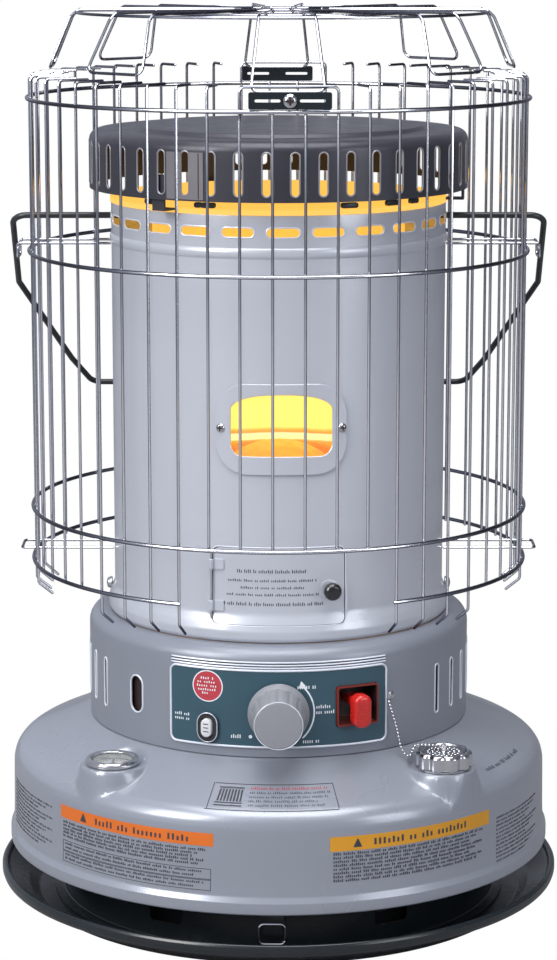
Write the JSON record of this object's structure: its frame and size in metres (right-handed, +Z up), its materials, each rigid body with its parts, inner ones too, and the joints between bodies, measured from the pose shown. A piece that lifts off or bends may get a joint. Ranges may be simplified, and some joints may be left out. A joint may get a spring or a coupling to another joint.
{
  "type": "kerosene heater",
  "caption": "Portable round kerosene heater with fuel tank base, control cabinet, heat chamber with window and door, slotted hood, wire guard and swinging bail handle.",
  "frame": {"origin": "centre of the drip tray's flat underside, on the surface the heater stands on", "axes": "+Z up through the heat chamber's axis; the control panel faces -Y; +X is to the right when facing the panel"},
  "size_m": [0.4604, 0.4604, 0.7215],
  "materials": {
    "body_paint": "satin blue-grey enamel",
    "hood_paint": "dark grey heat-resistant paint",
    "black_paint": "gloss black enamel",
    "panel_face": "slate teal printed panel",
    "chrome_wire": "bright plated wire and trim",
    "zinc": "zinc plated steel",
    "hot_steel": "heat-tinted steel",
    "light_plastic": "light grey moulded plastic",
    "black_plastic": "black moulded plastic",
    "red_plastic": "bright red moulded plastic",
    "dark_red_plastic": "dark red moulded plastic",
    "clear_lens": "clear lens",
    "window": "heat-proof window, lit from behind",
    "dial_face": "white dial with plain marks",
    "wick_fibre": "woven glass-fibre wick",
    "brass": "plain brass",
    "battery_jacket": "plain printed battery jacket"
  },
  "bodies": {
    "heater": {"drip_tray": "black_paint", "tank_base_ring": "black_paint", "tray_clip": "black_paint", "fuel_tank": "body_paint", "filler_neck": "zinc", "cap_chain": "chrome_wire", "chain_anchor": "zinc", "gauge_bezel": "chrome_wire", "gauge_lens": "clear_lens", "gauge_dial": "dial_face", "draft_tube": "zinc", "wick_housing": "zinc", "igniter_housing": "dark_red_plastic", "cabinet_drum": "body_paint", "control_panel": "panel_face", "shutoff_bezel": "black_plastic", "battery_case": "black_plastic", "battery_1": "battery_jacket", "battery_2": "battery_jacket", "heat_chamber": "body_paint", "window_frame": "body_paint", "window_glass": "window", "window_screw_left": "chrome_wire", "window_screw_right": "chrome_wire", "door_hinge_pin": "zinc", "side_bolt_left": "zinc", "side_bolt_right": "zinc", "hood": "hood_paint", "hood_bracket": "zinc", "guard_front": "chrome_wire", "guard_right": "chrome_wire", "guard_back": "chrome_wire", "guard_left": "chrome_wire", "top_grille": "chrome_wire", "clamp_plate_front": "black_paint", "clamp_plate_back": "black_paint", "clamp_screw_front": "chrome_wire", "clamp_screw_back": "chrome_wire", "guard_support_upper_left": "chrome_wire", "guard_support_upper_right": "chrome_wire", "guard_support_lower_left": "chrome_wire", "guard_support_lower_right": "chrome_wire"},
    "wick_control": {"wick_knob": "light_plastic", "knob_shaft": "zinc"},
    "wick_group": {"wick": "wick_fibre", "wick_carrier": "zinc"},
    "shutoff_group": {"shutoff_button": "light_plastic"},
    "igniter_lever_group": {"igniter_lever": "red_plastic"},
    "igniter_arm_group": {"igniter_arm": "zinc"},
    "door_group": {"door": "body_paint", "door_knob": "black_plastic"},
    "cap_group": {"fuel_cap": "chrome_wire"},
    "needle_group": {"gauge_needle": "red_plastic"},
    "float_group": {"float_arm": "brass", "gauge_float": "black_plastic"},
    "burner_group": {"outer_burner": "hot_steel", "inner_burner": "hot_steel"},
    "battery_cover_group": {"battery_cover": "body_paint"},
    "tip_weight_group": {"tip_over_weight": "brass"},
    "bail_group": {"bail_handle": "black_paint"}
  },
  "joints": [
    {"name": "knob_turn", "type": "hinge", "parent": "heater", "child": "wick_control", "pos_m": [0, -0.19, 0.188], "axis": [0, -1, 0], "range_deg": [0, 160]},
    {"name": "wick_lift", "type": "slide", "parent": "heater", "child": "wick_group", "axis": [0, 0, 1], "range_m": [-0.0182, 0]},
    {"name": "shutoff_press", "type": "slide", "parent": "heater", "child": "shutoff_group", "axis": [0.3486, 0.9373, 0], "range_m": [0, 0.004], "stiffness_N_per_m": 200, "springref_m": -0.002},
    {"name": "igniter_press", "type": "hinge", "parent": "heater", "child": "igniter_lever_group", "pos_m": [0.05493, -0.12878, 0.194], "axis": [0.9198, 0.3923, 0], "range_deg": [0, 12], "stiffness_Nm_per_rad": 0.08, "springref_deg": -11.46},
    {"name": "igniter_swing", "type": "hinge", "parent": "heater", "child": "igniter_arm_group", "pos_m": [0.02079, -0.04875, 0.205], "axis": [-0.9198, -0.3923, 0], "range_deg": [0, 9.2]},
    {"name": "door_swing", "type": "hinge", "parent": "heater", "child": "door_group", "pos_m": [-0.0524, -0.12593, 0.2824], "axis": [0, 0, -1], "range_deg": [0, 90]},
    {"name": "cap_turn", "type": "hinge", "parent": "heater", "child": "cap_group", "pos_m": [0.12881, -0.14305, 0.15], "axis": [0, 0, 1], "range_deg": [0, 270]},
    {"name": "float_swing", "type": "hinge", "parent": "heater", "child": "float_group", "pos_m": [-0.12976, -0.13673, 0.108], "axis": [0.7254, -0.6884, 0], "range_deg": [-20, 20]},
    {"name": "needle_turn", "type": "hinge", "parent": "heater", "child": "needle_group", "pos_m": [-0.12976, -0.13673, 0.141], "axis": [0, 0, 1], "range_deg": [-46, 46]},
    {"name": "burner_turn", "type": "hinge", "parent": "heater", "child": "burner_group", "pos_m": [0, 0, 0.3], "axis": [0, 0, 1], "range_deg": [-8, 8]},
    {"name": "battery_cover_swing", "type": "hinge", "parent": "heater", "child": "battery_cover_group", "pos_m": [0, 0.156, 0.1725], "axis": [-1, 0, 0], "range_deg": [0, 95]},
    {"name": "tip_weight_swing", "type": "hinge", "parent": "heater", "child": "tip_weight_group", "pos_m": [-0.09, 0, 0.226], "axis": [0, 1, 0], "range_deg": [-15, 15]},
    {"name": "bail_swing", "type": "hinge", "parent": "heater", "child": "bail_group", "pos_m": [0, 0, 0.5575], "axis": [1, 0, 0], "range_deg": [0, 258]}
  ],
  "couplings": [
    {"joint": "wick_lift", "follows": "knob_turn", "m_per_rad": -0.00645},
    {"joint": "igniter_swing", "follows": "igniter_press", "ratio": 0.75},
    {"joint": "needle_turn", "follows": "float_swing", "ratio": 2.25}
  ]
}
